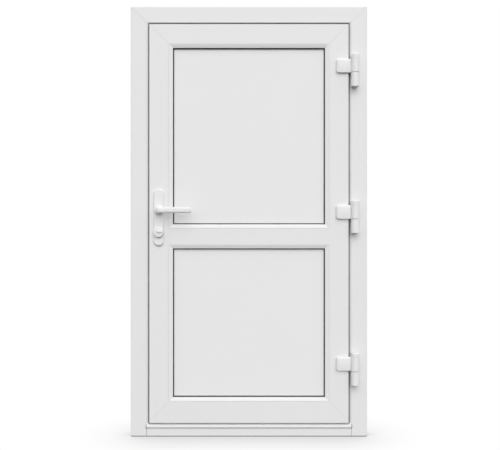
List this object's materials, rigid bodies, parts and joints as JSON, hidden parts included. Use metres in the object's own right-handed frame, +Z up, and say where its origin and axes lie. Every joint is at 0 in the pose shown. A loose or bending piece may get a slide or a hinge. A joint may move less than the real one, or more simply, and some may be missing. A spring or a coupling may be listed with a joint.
{
  "type": "upvc door in its frame",
  "caption": "White plastic door leaf with two flat panels, hung on knuckle hinges in a welded frame with a threshold, with a lever handle and a lock.",
  "frame": {"origin": "on the floor, in the middle of the threshold's underside and of the frame's depth", "axes": "+X to the hinge side, +Y through the wall away from the side that the door opens to, +Z up"},
  "size_m": [1.1, 0.191, 2],
  "materials": {
    "upvc_profile": "smooth white, satin",
    "panel_skin": "flat white, fine satin",
    "coated_metal": "white powder coat, satin",
    "seal_rubber": "dark grey, matt",
    "lock_steel": "zinc plated, satin",
    "cylinder_nickel": "satin nickel"
  },
  "bodies": {
    "frame": {"frame_head": "upvc_profile", "frame_jamb_lock_side": "upvc_profile", "frame_jamb_hinge_side": "upvc_profile", "threshold": "upvc_profile", "frame_seal": "seal_rubber", "lock_keeps": "lock_steel", "upper_hinge_knuckle": "coated_metal", "middle_hinge_knuckle": "coated_metal", "lower_hinge_knuckle": "coated_metal", "upper_hinge_pin": "lock_steel", "middle_hinge_pin": "lock_steel", "lower_hinge_pin": "lock_steel"},
    "leaf": {"leaf_stile_lock_side": "upvc_profile", "leaf_stile_hinge_side": "upvc_profile", "leaf_top_rail": "upvc_profile", "leaf_bottom_rail": "upvc_profile", "leaf_mid_rail": "upvc_profile", "leaf_seal": "seal_rubber", "lock_faceplate": "lock_steel", "upper_panel": "panel_skin", "lower_panel": "panel_skin", "upper_panel_gaskets": "seal_rubber", "lower_panel_gaskets": "seal_rubber", "upper_panel_bead_left": "upvc_profile", "upper_panel_bead_top": "upvc_profile", "upper_panel_bead_right": "upvc_profile", "upper_panel_bead_bottom": "upvc_profile", "lower_panel_bead_left": "upvc_profile", "lower_panel_bead_top": "upvc_profile", "lower_panel_bead_right": "upvc_profile", "lower_panel_bead_bottom": "upvc_profile", "upper_hinge_flag": "coated_metal", "middle_hinge_flag": "coated_metal", "lower_hinge_flag": "coated_metal", "upper_hinge_cap": "coated_metal", "middle_hinge_cap": "coated_metal", "lower_hinge_cap": "coated_metal", "handle_plate_front": "coated_metal", "handle_plate_back": "coated_metal", "lock_cylinder": "cylinder_nickel", "lock_boss": "coated_metal"},
    "handle": {"lever_front": "coated_metal", "lever_back": "coated_metal", "handle_spindle": "lock_steel"},
    "turn": {"thumb_turn": "coated_metal"}
  },
  "joints": [
    {"name": "leaf_swing", "type": "hinge", "parent": "frame", "child": "leaf", "pos_m": [0.49, -0.0592, 1], "axis": [0, 0, 1], "range_deg": [0, 110]},
    {"name": "lever_turn", "type": "hinge", "parent": "leaf", "child": "handle", "pos_m": [-0.4176, 0, 1.0515], "axis": [0, 1, 0], "range_deg": [0, 45], "stiffness_Nm_per_rad": 1.5, "springref_deg": -45.84},
    {"name": "turn_spin", "type": "hinge", "parent": "leaf", "child": "turn", "pos_m": [-0.4176, -0.07, 0.9495], "axis": [0, 1, 0], "continuous": true}
  ]
}
